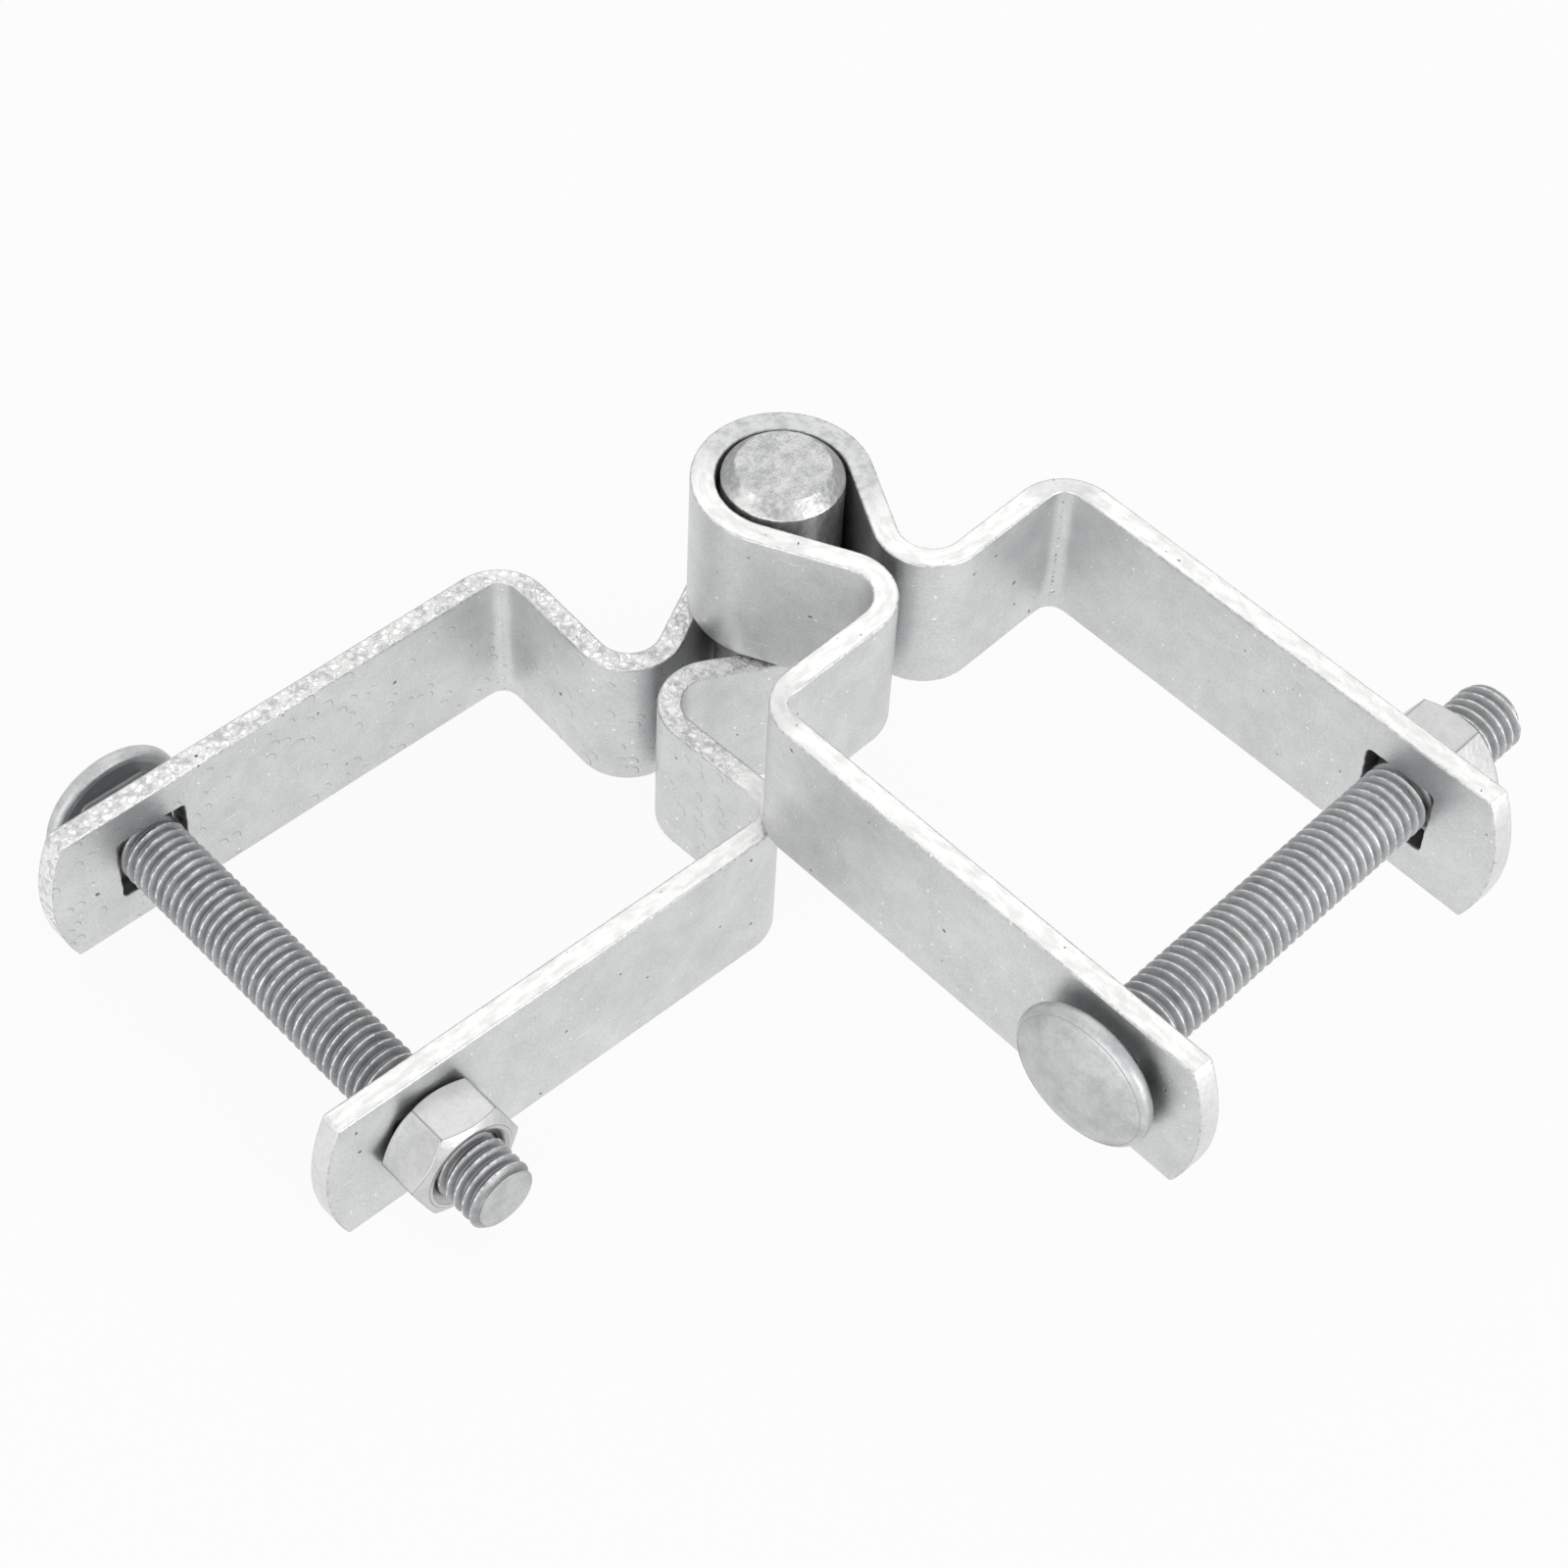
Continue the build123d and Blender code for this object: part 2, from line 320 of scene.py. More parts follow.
def scratches(add, where, turn, stretch, limit):
    # Fine lines: noise drawn out along one direction, of which only the highest peaks show
    turned = add("Mapping", {"Vector": where, "Rotation": (0.0, turn, 0.0),
                             "Scale": (1 / stretch, 1.0, 4.0)})
    lines = add("TexNoise", {"Vector": turned, "Scale": 1.0, "Detail": 2.0})
    return add("MapRange", (lines, limit, limit + 0.03))


def crescents(add, where, size, share):
    # Thin curved dents: part of a ring in some of the cells of the given size in mm, gathered in patches
    cells = add("TexVoronoi", {"Vector": where, "Scale": 1 / size}, voronoi_dimensions="2D").outputs
    number = add("SeparateColor", (cells["Color"],)).outputs
    gathered = add("TexNoise", {"Vector": where, "Scale": 0.3 / size, "Detail": 1.0})
    limit = add("MapRange", {"Value": gathered, "From Min": 0.4, "From Max": 0.55, "To Max": share})
    here = add("Math", (number[0], limit), operation="LESS_THAN")
    reach = add("Math", (number[1], 0.16, 0.14), operation="MULTIPLY_ADD")
    ring = add("Math", (cells["Distance"], reach, 0.022), operation="COMPARE")
    away = add("VectorMath", (where, cells["Position"]), operation="SUBTRACT")
    side = add("VectorMath", (away, (0.7, 0.7, 0.0)), operation="DOT_PRODUCT").outputs["Value"]
    facing = add("Math", (side, 0.08 * size), operation="GREATER_THAN")
    mark = add("Math", (ring, here), operation="MULTIPLY")
    return add("Math", (mark, facing), operation="MULTIPLY")


# Hot-dip zinc on flat bar: dull light grey, faint clouds and fine grain, small pits from the steel's scale,
# light scratches from handling and, on the lower half's inner faces, patches of crescent dents. The sheared
# edges took a thick bright coat, and their colour is painted lighter still, as light falling on these
# upward-facing edges; it is duller round the back of the loop, and on the lower half's head side it froze
# coarse and creased like foil. The coat is thin and dark along the arrises, greyer where the edge was
# stretched round a corner, and cracked into dots along the corner's crease; the holes' walls are painted
# dark as shade.
flatBarZinc = {
    "face": "#dfe0e0", "faceDark": "#c9cacb", "pit": "#7d7e80", "fleck": "#f8f8f6", "scratch": "#efefed",
    # the edge tones are painted lighter than the face tones: painted light on the upward-facing edges, over
    # their bright coat
    "edge": "#eeeeec", "edgeDark": "#dededc", "edgeDull": "#cdcece", "edgeSmudge": "#b2b3b4",
    "coarse": "#efefed", "coarseDark": "#c9cacb", "arris": "#8f9092", "burr": "#f8f8f6",
    # the holes' walls: painted shade in the holes
    "holeWall": "#8a8b8d",
    # marks: size in mm, share of the cells that hold one, how much their reach varies, raggedness
    "pits": (4.5, 0.3, 0.07, 1.1), "flecks": (2.2, 0.35, 0.1, 0.6), "chips": (2.5, 0.3, 0.07, 1.2),
    # scratches: direction in radians, how far they are drawn out, how high the noise must peak
    "scratches": ((0.6, 7.0, 0.735), (2.1, 5.0, 0.74)),
    "crescents": (3.4, 0.9),                                # size in mm, share
    "tones": (0.92, 1.44), "edgeTones": (0.36, 0.56),       # noise at the darkest and the lightest
    "bendReach": (6.0, 2.5), "creaseReach": (0.35, 0.15),   # mm from a corner's middle, out to in
    "dullReach": (30.0, 16.0), "dullWander": 12.0,          # mm from the middle of the loop's back
    "grainSize": 0.4, "foldSize": 1.1, "roughness": 0.42, "roughnessSpread": 0.25,
    # how high each shows as relief, in mm
    "grainHeight": 0.03, "markHeight": -0.05, "scratchHeight": -0.01,
    "foldHeight": 0.06, "patchHeight": 0.19, "edgeHeight": 0.12,
}


def flatBarFinish():
    zinc = flatBarZinc
    material = bpy.data.materials.new("hotDipZincFlatBar")
    add = emptied(material)
    blank = add("Attribute", attribute_name="blankPoint").outputs["Vector"]
    names = ("sheared", "arris", "coarse", "hole", "fromCorner", "cloud", "streak", "fromDull")
    sheared, arris, coarse, hole, corner, cloud, streak, fromDull = (
        add("Attribute", attribute_name=name).outputs["Fac"] for name in names)
    flat = add("SeparateXYZ", (blank,)).outputs
    around = add("Math", (flat["Y"], flat["Z"]), operation="ADD")
    sheet = add("CombineXYZ", (flat["X"], around))
    bend = add("MapRange", (corner, *zinc["bendReach"]), interpolation_type="SMOOTHSTEP")
    inner = add("Math", (flat["Y"], -1.0), operation="LESS_THAN")
    rough = add("TexNoise", {"Vector": blank, "Scale": 1.5, "Detail": 3.0, "Roughness": 0.7})
    # broad faces
    fine = 1 / zinc["grainSize"]
    grain = add("TexNoise", {"Vector": blank, "Scale": fine, "Detail": 2.0, "Roughness": 0.6})
    mottle = add("Math", (streak, 0.5, cloud), operation="MULTIPLY_ADD")
    mottle = add("Math", (grain, 0.9, mottle), operation="MULTIPLY_ADD")
    tone = add("MapRange", (mottle, *zinc["tones"]))
    face = add("Mix", {0: tone, 6: zinc["faceDark"], 7: zinc["face"]}, data_type="RGBA")
    pits = flecks(add, sheet, zinc["pits"])
    light = flecks(add, sheet, zinc["flecks"])
    lines = add("Math", [scratches(add, blank, *facts) for facts in zinc["scratches"]], operation="MAXIMUM")
    dents = add("Math", (crescents(add, sheet, *zinc["crescents"]), coarse), operation="MULTIPLY")
    dents = add("Math", (dents, inner), operation="MULTIPLY")
    crease = add("MapRange", (corner, *zinc["creaseReach"]))
    dots = add("MapRange", (grain, 0.58, 0.64))
    dots = add("Math", (dots, crease), operation="MULTIPLY")
    dots = add("Math", (dots, inner), operation="MULTIPLY")
    dark = add("Math", (pits, dots), operation="MAXIMUM")
    dark = add("Math", (dents, 0.5, dark), operation="MULTIPLY_ADD")
    for share, upper in ((lines, "scratch"), (dark, "pit"), (light, "fleck")):
        face = add("Mix", {0: share, 6: face, 7: zinc[upper]}, data_type="RGBA")
    # sheared edges
    # their colour is painted lighter than the faces', as light on the upward-facing edges
    drawn = add("VectorMath", (blank, (0.35, 1.0, 1.0)), operation="MULTIPLY")
    drawn = add("TexNoise", {"Vector": drawn, "Scale": 1.2, "Detail": 3.0})
    tone = add("MapRange", (drawn, *zinc["edgeTones"]))
    edge = add("Mix", {0: tone, 6: zinc["edgeDark"], 7: zinc["edge"]}, data_type="RGBA")
    chips = flecks(add, sheet, zinc["chips"])
    dull = add("Math", (cloud, zinc["dullWander"], fromDull), operation="MULTIPLY_ADD")
    dull = add("MapRange", (dull, *zinc["dullReach"]), interpolation_type="SMOOTHSTEP")
    dull = add("Math", (bend, 0.55, dull), operation="MULTIPLY_ADD")
    patches = add("TexNoise", {"Vector": blank, "Scale": 0.75, "Detail": 4.0, "Roughness": 0.62})
    smudge = add("MapRange", (patches, 0.44, 0.66))
    smudge = add("Mix", {0: smudge, 6: zinc["edgeDull"], 7: zinc["edgeSmudge"]}, data_type="RGBA")
    wander = add("VectorMath", (rough.outputs["Color"], [1.6] * 3, blank), operation="MULTIPLY_ADD")
    foil = add("TexVoronoi", {"Vector": wander, "Scale": 1 / zinc["foldSize"]}, feature="DISTANCE_TO_EDGE")
    folds = add("MapRange", (foil, 0.0, 0.16))
    patch = add("MapRange", (cloud, 0.4, 0.6))
    tone = add("Math", (folds, patch), operation="MAXIMUM")
    tone = add("Math", (tone, 0.4, 0.6), operation="MULTIPLY_ADD")
    frost = add("MapRange", (patches, 0.4, 0.52))
    tone = add("Math", (tone, frost), operation="MULTIPLY")
    creased = add("Mix", {0: tone, 6: zinc["coarseDark"], 7: zinc["coarse"]}, data_type="RGBA")
    for share, upper in ((dull, smudge), (coarse, creased), (chips, zinc["pit"])):
        edge = add("Mix", {0: share, 6: edge, 7: upper}, data_type="RGBA")
    # arrises: thin and dark here and there, but a bright burr inside the corners
    burr = add("Math", (bend, inner), operation="MULTIPLY")
    line = add("Mix", {0: burr, 6: zinc["arris"], 7: zinc["burr"]}, data_type="RGBA")
    worn = add("Math", (burr, 0.15, rough), operation="MULTIPLY_ADD")
    worn = add("MapRange", (worn, 0.46, 0.56))
    worn = add("Math", (worn, arris), operation="MULTIPLY")
    colour = face
    # the holes' walls take a dark colour: painted shade in the holes
    for share, upper in ((sheared, edge), (worn, line), (hole, zinc["holeWall"])):
        colour = add("Mix", {0: share, 6: colour, 7: upper}, data_type="RGBA")
    least = zinc["roughness"] - zinc["roughnessSpread"] / 2
    gloss = add("Math", (cloud, zinc["roughnessSpread"], least), operation="MULTIPLY_ADD")
    # relief of the faces and of the edges
    relief = add("Math", (grain, zinc["grainHeight"]), operation="MULTIPLY")
    relief = add("Math", (dark, zinc["markHeight"], relief), operation="MULTIPLY_ADD")
    relief = add("Math", (lines, zinc["scratchHeight"], relief), operation="MULTIPLY_ADD")
    lumps = add("Math", (folds, zinc["foldHeight"]), operation="MULTIPLY")
    lumps = add("Math", (patches, zinc["patchHeight"], lumps), operation="MULTIPLY_ADD")
    smooth = add("Math", (rough, zinc["edgeHeight"]), operation="MULTIPLY")
    lumps = add("Mix", {0: coarse, 2: smooth, 3: lumps}, data_type="FLOAT")
    height = add("Mix", {0: sheared, 2: relief, 3: lumps}, data_type="FLOAT")
    bump = add("Bump", {"Height": height, "Distance": mm, "Strength": 1.0})
    coat = add("BsdfPrincipled", {"Base Color": colour, "Metallic": 1.0, "Roughness": gloss, "Normal": bump})
    add("OutputMaterial", {"Surface": coat})
    return material


# Cut round bar, dipped: lumpy and mottled, with painted light on its side and painted highlights on the grey
# bevel
pinLook = {"light": "#d0d0d0", "dark": "#a2a3a4", "pit": "#7a7b7d", "arris": "#9c9d9e",
           "paintedShading": "#efefed", "lumpSize": 1.6, "grainSize": 0.27, "grainTone": 0.75, "pitSize": 2.5,
           "roughness": 0.42, "lumps": 0.17, "grain": 0.03}
# Rolled thread and forged head, dipped: duller along the thread, painted dark in its grooves as shade,
# lighter on its crest as a painted highlight and wear, and painted dark under the head and on the neck as
# shade
boltLook = {"light": "#cfd0d0", "dark": "#b7b8b9", "pit": "#77787a", "arris": "#a2a3a5",
            "paintedShading": "#97989a", "threadLight": "#bebfc0", "threadDark": "#9fa0a2", "grooveShade": "#7c7d7f",
            "worn": "#dcdcdb",
            "lumpSize": 3.0, "grainSize": 0.5, "grainTone": 0.4, "pitSize": 3.0, "crestLightSize": 0.9,
            "grooveShadeShare": 0.7, "crestLightFrom": 1.31, "roughness": 0.5, "lumps": 0.1, "grain": 0.02}
# Forged nut, dipped: the smoothest and lightest coat, with grey edges, and painted shade on its seat end
# where it meets the arm
nutLook = {"light": "#d5d5d4", "dark": "#c3c4c4", "pit": "#8c8d8e", "arris": "#86878a",
           "paintedShading": "#77787a", "lumpSize": 3.0, "grainSize": 0.5, "grainTone": 0.4, "pitSize": 4.0,
           "roughness": 0.4, "lumps": 0.12, "grain": 0.02}
# On the gate half the bolt's thread is a little brighter and the nut a little duller
gateBoltLook = dict(boltLook, threadLight="#cccdce", threadDark="#adaeb0", grooveShade="#88898b")
gateNutLook = dict(nutLook, light="#cbcbca", dark="#babbbb")


def roundZincFinish(name, look):
    # Zinc on round or forged stock, in mm from the frame's origin. The marks named arris and paintedShading
    # say where the coat takes those two colours, the second being painted shade on the bolts and nuts and
    # painted light on the pin; a look with a grooveShade is that of a threaded piece.
    material = bpy.data.materials.new(name)
    add = emptied(material)
    place = add("TexCoord").outputs["Object"]
    spot = add("VectorMath", {0: place, "Scale": 1 / mm}, operation="SCALE")
    coarse, fine = 1 / look["lumpSize"], 1 / look["grainSize"]
    cloud = add("TexNoise", {"Vector": spot, "Scale": coarse, "Detail": 3.0, "Roughness": 0.6})
    grain = add("TexNoise", {"Vector": spot, "Scale": fine, "Detail": 1.0, "Roughness": 0.6})
    mottle = add("Math", (grain, look["grainTone"], cloud), operation="MULTIPLY_ADD")
    middle = 0.5 + 0.5 * look["grainTone"]
    tone = add("MapRange", (mottle, middle - 0.19, middle + 0.19))
    colour = add("Mix", {0: tone, 6: look["dark"], 7: look["light"]}, data_type="RGBA")
    pits = flecks(add, spot, (look["pitSize"], 0.35, 0.1, 0.8), "3D")
    layers = [(pits, look["pit"])]
    names = ("groove", "crest", "thread") if "grooveShade" in look else ()
    *threadMarks, arris, paintedShading = (add("Attribute", attribute_name=name).outputs["Fac"]
                                      for name in (*names, "arris", "paintedShading"))
    if threadMarks:
        groove, crest, thread = threadMarks
        rolled = add("Mix", {0: tone, 6: look["threadDark"], 7: look["threadLight"]}, data_type="RGBA")
        # the thread's grooves are painted darker: painted shade in the grooves
        deep = add("Math", (groove, look["grooveShadeShare"]), operation="MULTIPLY")
        # the crest takes a lighter colour in broken lines: a painted highlight along the crest, and wear
        patchy = 1 / look["crestLightSize"]
        crestLevel = add("TexNoise", {"Vector": spot, "Scale": patchy, "Detail": 2.0, "Roughness": 0.7})
        crestLevel = add("Math", (crestLevel, 0.7, crest), operation="MULTIPLY_ADD")
        crestLight = add("MapRange", (crestLevel, look["crestLightFrom"], look["crestLightFrom"] + 0.05))
        layers += [(thread, rolled), (deep, look["grooveShade"]), (crestLight, look["worn"])]
    arris = add("Math", (cloud, 0.6, arris), operation="MULTIPLY_ADD")
    arris = add("MapRange", (arris, 0.9, 1.3))
    # the second mark lays painted shade or painted light, as each piece's look gives it
    layers += [(arris, look["arris"]), (paintedShading, look["paintedShading"])]
    for share, upper in layers:
        colour = add("Mix", {0: share, 6: colour, 7: upper}, data_type="RGBA")
    gloss = add("Math", (cloud, 0.2, look["roughness"] - 0.1), operation="MULTIPLY_ADD")
    relief = add("Math", (cloud, look["lumps"]), operation="MULTIPLY")
    relief = add("Math", (grain, look["grain"], relief), operation="MULTIPLY_ADD")
    relief = add("Math", (pits, -0.04, relief), operation="MULTIPLY_ADD")
    bump = add("Bump", {"Height": relief, "Distance": mm, "Strength": 1.0})
    coat = add("BsdfPrincipled", {"Base Color": colour, "Metallic": 1.0, "Roughness": gloss, "Normal": bump})
    add("OutputMaterial", {"Surface": coat})
    return material


# Straps

bar = {
    "width": 22.2, "thickness": 3.3, "edgeRound": 0.3,
    "pinRadius": 8.15, "pinPlay": 0.6, "inside": 52.8,
    "neckGap": 2.0, "neckRadius": 4.4, "cornerRadius": 4.2, "creaseRadius": 2.2,
    "tipRise": 2.7, "holeFromTip": 15.7, "holeSide": 10.5, "holeCorner": 0.8,
    "ragged": 0.14,        # how far the punched holes' edges wander
    "rows": 36, "clearRows": 4, "holeRings": 6,
    "faceWear": 0.02, "edgeWear": 0.10, "grain": 0.9, "cloudSize": 7.0,
}
# each side's reach from the pin's axis, where its shoulder stands at the neck, and its lean in degrees
half = {"post": {"nut": (99.5, 26.3, 3.0), "head": (99.5, 26.3, 3.0),
                 "level": 0.0, "swing": 0.0, "seed": 3.0, "coarse": True, "dullAt": 0.0},
        "gate": {"nut": (98.9, 26.0, 3.0), "head": (101.5, 26.9, -2.5),
                 "level": bar["width"] + 0.6, "swing": 91.1, "seed": 8.0, "coarse": False, "dullAt": 12.0}}
armMiddle = bar["inside"] / 2 + bar["thickness"] / 2
armOutside = bar["inside"] / 2 + bar["thickness"]


def sideLine(side, step=0.3):
    # Middle line of one side, from behind the pin: loop, flank, neck, shoulder, corner, arm.
    # Also gives between which two of its points the bar bends at the corner.
    reach, shoulder, lean = side
    lean = radians(lean)
    through = bar["thickness"] / 2
    loopRadius = bar["pinRadius"] + bar["pinPlay"] + through
    neckRadius = bar["neckRadius"] + through
    cornerRadius = bar["cornerRadius"] + through
    neck = (shoulder - bar["thickness"] - bar["neckRadius"],
            bar["neckGap"] / 2 + bar["thickness"] + bar["neckRadius"])
    heading = atan2(neck[1], neck[0]) - asin((loopRadius + neckRadius) / hypot(*neck))
    loop = arcPoints((0, 0), loopRadius, pi, heading + pi / 2, step)
    neckArc = arcPoints(neck, neckRadius, heading - pi / 2, lean, step)
    neckEnd = (neck[0] + neckRadius * cos(lean), neck[1] + neckRadius * sin(lean))
    loopEnd = (loopRadius * cos(heading + pi / 2), loopRadius * sin(heading + pi / 2))
    cornerY = bar["inside"] / 2 - bar["cornerRadius"]
    rise = cornerY + cornerRadius * cos(pi / 2 + lean) - neckEnd[1]
    corner = (neckEnd[0] - rise * tan(lean) + cornerRadius * cos(lean), cornerY)
    cornerArc = arcPoints(corner, cornerRadius, pi + lean, pi / 2, step)
    flank = linePoints(loopEnd, neckArc[0], step)
    shoulderRun = linePoints(neckEnd, cornerArc[0], step)
    arm = linePoints((corner[0], armMiddle), (reach, armMiddle), step)
    before = loop + flank + neckArc + shoulderRun
    points = before + cornerArc + arm + [(reach, armMiddle)]
    return points, len(before), len(before) + len(cornerArc)


def strapPath(name, facts):
    # Curve of the bar's middle line from the head side's tip to the nut side's tip, its length,
    # and where along it each corner bend starts and ends, with the angle that it turns through
    headSide, headFirst, headLast = sideLine(facts["head"])
    nutSide, nutFirst, nutLast = sideLine(facts["nut"])
    points = [(x, -y) for x, y in reversed(headSide[1:])] + nutSide
    runs = [0.0]
    for a, b in zip(points, points[1:]):
        runs.append(runs[-1] + hypot(b[0] - a[0], b[1] - a[1]))
    meet = len(headSide) - 1
    corners = [(runs[meet - headLast], runs[meet - headFirst], pi / 2 - radians(facts["head"][2])),
               (runs[meet + nutFirst], runs[meet + nutLast], pi / 2 - radians(facts["nut"][2]))]
    curve = bpy.data.curves.new(name, "CURVE")
    curve.dimensions = "3D"
    spline = curve.splines.new("POLY")
    spline.points.add(len(points) - 1)
    for point, (x, y) in zip(spline.points, points):
        point.co = (x, y, 0.0, 1.0)
    return addObject(name, curve), runs[-1], corners


def creaseDepth(s, corners):
    # How far the corner bends have thinned the bar on its inside, at a place along it
    wide, tight = bar["cornerRadius"], bar["creaseRadius"]
    for first, last, turn in corners:
        if first < s < last:
            off = abs((s - first) / (last - first) - 0.5) * turn
            away = (wide - tight) / cos(turn / 2)
            if off < atan2(tight * sin(turn / 2), away + tight * cos(turn / 2)):
                return away * cos(off) + sqrt(tight**2 - (away * sin(off)) ** 2) - wide
            return wide / cos(turn / 2 - off) - wide
    return 0.0


def holeEdge(x, z, reach, seed):
    # A point of the square patch, taken to the punched hole's outline
    side, corner = bar["holeSide"] / 2, bar["holeCorner"]
    x, z = x * side / reach, z * side / reach
    inner = side - corner
    if abs(x) > inner and abs(z) > inner:
        away = Vector((abs(x) - inner, abs(z) - inner)).normalized() * corner
        x = (inner + away.x) * (1 if x > 0 else -1)
        z = (inner + away.y) * (1 if z > 0 else -1)
    nudge = noise.noise_vector(Vector((x * 0.9, z * 0.9, seed))) * bar["ragged"]
    return x + nudge.x, z + nudge.y


def blankColumns(length, step, patch):
    # Where the blank's columns stand along the bar, and which of them start the two holes' square patches
    margin, reach = 2 * bar["edgeRound"], patch * step / 2
    tipRun = bar["holeFromTip"] - reach
    tipCount = round(tipRun / step)
    middle = length - 2 * (bar["holeFromTip"] + reach)
    middleCount = round(middle / step)
    middleStep = middle / middleCount
    tip = [0.0] + [margin + (tipRun - margin) * i / (tipCount - 1) for i in range(tipCount - 1)]
    stations = tip + [tipRun + step * i for i in range(patch)]
    stations += [tipRun + 2 * reach + middleStep * i for i in range(middleCount)]
    stations += [length - bar["holeFromTip"] - reach + step * i for i in range(patch)]
    stations += [length - tipRun] + [length - s for s in reversed(tip)]
    return stations, (tipCount, tipCount + patch + middleCount)


def punchHole(work, outer, centre, reach, seed):
    # Rings of faces from the outline of a square patch in to the outline of its hole
    ring = outer
    for k in range(1, bar["holeRings"] + 1):
        share = 1 - (1 - k / bar["holeRings"]) ** 1.25
        inner = []
        for vertex in outer:
            x, z = vertex.co.x - centre, vertex.co.z - bar["width"] / 2
            hx, hz = holeEdge(x, z, reach, seed)
            inner.append(work.verts.new((centre + x + (hx - x) * share, 0.0,
                                         bar["width"] / 2 + z + (hz - z) * share)))
        for n in range(len(ring)):
            after = (n + 1) % len(ring)
            work.faces.new([ring[n], ring[after], inner[after], inner[n]])
        ring = inner


def thicken(work):
    # Gives the sheet the bar's thickness: near face, far face and a rim of several rows between them
    through, margin = bar["thickness"] / 2, 2 * bar["edgeRound"]
    levels = [-through, margin - through]
    levels += [through * share for share in (-0.4, 0.0, 0.4)] + [through - margin, through]
    border = [edge for edge in work.edges if len(edge.link_faces) == 1]
    sheet, faces = list(work.verts), list(work.faces)
    rim = dict.fromkeys(v for edge in border for v in edge.verts)
    layers = []
    for y in levels:
        keep = sheet if abs(y) == through else rim
        layers.append({v: work.verts.new((v.co.x, y, v.co.z)) for v in keep})
    for face in faces:
        work.faces.new([layers[0][v] for v in face.verts])
        work.faces.new([layers[-1][v] for v in reversed(face.verts)])
    for edge in border:
        a, b = edge.verts
        for low, high in zip(layers, layers[1:]):
            work.faces.new([low[a], low[b], high[b], high[a]])
    bmesh.ops.delete(work, geom=faces, context="FACES")
    bmesh.ops.delete(work, geom=[v for v in work.verts if not v.link_faces], context="VERTS")
    bmesh.ops.recalc_face_normals(work, faces=work.faces)


def flatBlank(name, length, seed):
    # The bar before it is bent: arched tips, two punched holes, soft edges
    rows, clear = bar["rows"], bar["clearRows"]
    step = bar["width"] / rows
    patch = rows - 2 * clear
    reach = patch * step / 2
    stations, holes = blankColumns(length, step, patch)
    # the rows stand closer to both edges, where these are rounded
    margin = 2 * bar["edgeRound"]
    heights = [j * step for j in range(rows + 1)]
    heights[1:clear] = [margin + (clear * step - margin) * j / (clear - 1) for j in range(clear - 1)]
    heights[rows - clear + 1:rows] = [bar["width"] - z for z in reversed(heights[1:clear])]
    tipRadius = ((bar["width"] / 2) ** 2 + bar["tipRise"] ** 2) / (2 * bar["tipRise"])
    tipRun = bar["holeFromTip"] - reach

    def spot(i, j):
        # the tips' columns fan out to the arch
        s, z = stations[i], heights[j]
        sag = tipRadius - sqrt(tipRadius**2 - (z - bar["width"] / 2) ** 2)
        if s < tipRun:
            s += sag * (1 - s / tipRun)
        elif s > length - tipRun:
            s -= sag * (1 - (length - s) / tipRun)
        return s, 0.0, z

    work = bmesh.new()
    grid = {}
    for i in range(len(stations)):
        for j in range(rows + 1):
            if not (any(h < i < h + patch for h in holes) and clear < j < rows - clear):
                grid[i, j] = work.verts.new(spot(i, j))
    for i in range(len(stations) - 1):
        for j in range(rows):
            if not (any(h <= i < h + patch for h in holes) and clear <= j < rows - clear):
                work.faces.new([grid[i, j], grid[i + 1, j], grid[i + 1, j + 1], grid[i, j + 1]])
    for number, h in enumerate(holes):
        outline = [(h + k, clear) for k in range(patch)]
        outline += [(h + patch, clear + k) for k in range(patch)]
        outline += [(h + patch - k, rows - clear) for k in range(patch)]
        outline += [(h, rows - clear - k) for k in range(patch)]
        punchHole(work, [grid[key] for key in outline], stations[h] + reach, reach, seed + number)
    thicken(work)
    mesh = bpy.data.meshes.new(name)
    work.to_mesh(mesh)
    work.free()
    return mesh


def bevelled(name, mesh, width, segments, angle):
    # Rounds every edge that turns by more than the angle
    carrier = addObject(name + "Bevel", mesh)
    modifier = carrier.modifiers.new("soft", "BEVEL")
    modifier.width = width
    modifier.segments = segments
    modifier.limit_method = "ANGLE"
    modifier.angle_limit = radians(angle)
    return plainMesh(name, carrier)


